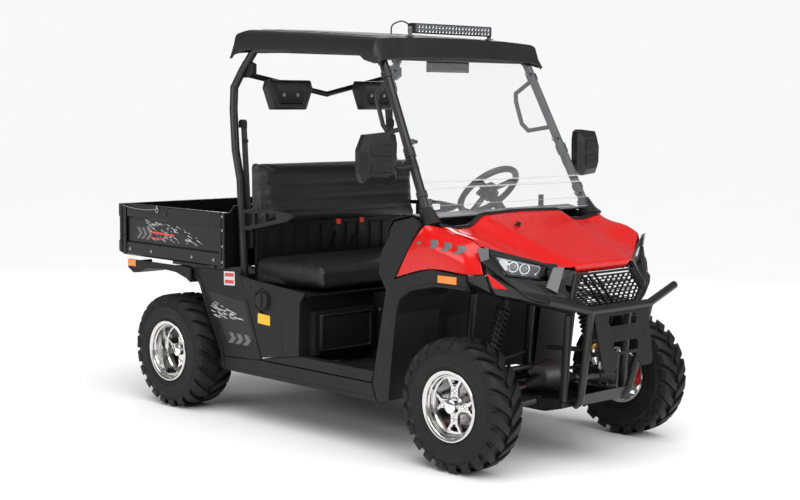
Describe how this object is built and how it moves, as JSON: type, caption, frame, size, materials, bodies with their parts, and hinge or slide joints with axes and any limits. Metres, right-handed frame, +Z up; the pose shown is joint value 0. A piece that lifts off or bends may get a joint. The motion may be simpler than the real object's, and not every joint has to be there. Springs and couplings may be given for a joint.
{
  "type": "side by side utility vehicle",
  "caption": "Two-seat side by side utility vehicle with a roll cage, roof, windshield, steered front wheels, opening hood and a dumping bed with a tailgate.",
  "frame": {"origin": "on the ground under the middle of the vehicle's length and width", "axes": "+Z up, the front faces -Y, the driver sits on the +X side"},
  "size_m": [1.5124, 2.7538, 1.8],
  "materials": {
    "charcoal_plastic": "moulded, fine grain",
    "black_steel": "satin black powder coat",
    "black_plastic": "satin",
    "red_plastic": "gloss",
    "bed_plastic": "moulded, fine grain",
    "vinyl": "soft vinyl",
    "webbing": "woven",
    "lamp_lens": "clear",
    "clear_glass": "clear",
    "shock_steel": "satin",
    "bare_steel": "satin",
    "cast_metal": "as cast",
    "grip_rubber": "soft",
    "cable_sheath": "satin",
    "alloy": "polished",
    "tyre_rubber": "matte"
  },
  "bodies": {
    "chassis": {"frame": "black_steel", "floor_tub": "charcoal_plastic", "sills": "charcoal_plastic", "front_fenders": "charcoal_plastic", "front_fascia": "charcoal_plastic", "side_panels": "red_plastic", "cowl": "black_plastic", "grille": "black_plastic", "lamps": "lamp_lens", "front_bumper": "black_steel", "dash": "charcoal_plastic", "windshield": "clear_glass", "cage_pillars": "black_steel", "cage_bars": "black_steel", "roof": "black_plastic", "mirrors": "black_plastic", "headrests": "vinyl", "seat_base": "charcoal_plastic", "seat_cushion": "vinyl", "seat_back": "vinyl", "hip_restraints": "black_steel", "seat_belts": "webbing", "rear_quarters": "charcoal_plastic", "suspension_arms": "black_steel", "shocks": "shock_steel", "brake_hoses": "cable_sheath", "powertrain": "cast_metal", "rear_hitch": "black_steel", "fuel_cap": "black_plastic", "driver_controls": "black_plastic"},
    "hood": {"hood": "red_plastic"},
    "steering_wheel": {"steering_wheel": "grip_rubber"},
    "tie_rods": {"tie_rods": "bare_steel"},
    "knuckle_left": {"knuckle_left": "bare_steel"},
    "knuckle_right": {"knuckle_right": "bare_steel"},
    "wheel_front_left": {"rim_front_left": "alloy", "tyre_front_left": "tyre_rubber"},
    "wheel_front_right": {"rim_front_right": "alloy", "tyre_front_right": "tyre_rubber"},
    "wheel_rear_left": {"rim_rear_left": "alloy", "tyre_rear_left": "tyre_rubber"},
    "wheel_rear_right": {"rim_rear_right": "alloy", "tyre_rear_right": "tyre_rubber"},
    "bed": {"bed": "bed_plastic", "tailgate_cables": "cable_sheath"},
    "tailgate": {"tailgate": "bed_plastic"}
  },
  "joints": [
    {"name": "steer_left", "type": "hinge", "parent": "chassis", "child": "knuckle_left", "pos_m": [0.446, -0.977, 0.27], "axis": [0, 0, 1], "range_deg": [-30, 30]},
    {"name": "steer_right", "type": "hinge", "parent": "chassis", "child": "knuckle_right", "pos_m": [-0.446, -0.977, 0.27], "axis": [0, 0, 1], "range_deg": [-30, 30]},
    {"name": "rack_slide", "type": "slide", "parent": "chassis", "child": "tie_rods", "axis": [1, 0, 0], "range_m": [-0.054, 0.054]},
    {"name": "steering_wheel_turn", "type": "hinge", "parent": "chassis", "child": "steering_wheel", "pos_m": [0.24, -0.392, 1.062], "axis": [0, 0.7071, 0.7071], "range_deg": [-300, 300]},
    {"name": "hood_hinge", "type": "hinge", "parent": "chassis", "child": "hood", "pos_m": [0, -1.232, 0.806], "axis": [1, 0, 0], "range_deg": [0, 60]},
    {"name": "bed_tilt", "type": "hinge", "parent": "chassis", "child": "bed", "pos_m": [0, 1.263, 0.662], "axis": [-1, 0, 0], "range_deg": [0, 42]},
    {"name": "tailgate_hinge", "type": "hinge", "parent": "bed", "child": "tailgate", "pos_m": [0, 1.354, 0.708], "axis": [-1, 0, 0], "range_deg": [0, 90]},
    {"name": "wheel_spin_front_left", "type": "hinge", "parent": "knuckle_left", "child": "wheel_front_left", "pos_m": [0.539, -0.977, 0.27], "axis": [1, 0, 0], "continuous": true},
    {"name": "wheel_spin_front_right", "type": "hinge", "parent": "knuckle_right", "child": "wheel_front_right", "pos_m": [-0.539, -0.977, 0.27], "axis": [1, 0, 0], "continuous": true},
    {"name": "wheel_spin_rear_left", "type": "hinge", "parent": "chassis", "child": "wheel_rear_left", "pos_m": [0.558, 0.843, 0.27], "axis": [1, 0, 0], "continuous": true},
    {"name": "wheel_spin_rear_right", "type": "hinge", "parent": "chassis", "child": "wheel_rear_right", "pos_m": [-0.558, 0.843, 0.27], "axis": [1, 0, 0], "continuous": true}
  ],
  "couplings": [
    {"joint": "steer_right", "follows": "steer_left", "ratio": 1},
    {"joint": "rack_slide", "follows": "steer_left", "m_per_rad": -0.1},
    {"joint": "steering_wheel_turn", "follows": "steer_left", "ratio": 10}
  ]
}
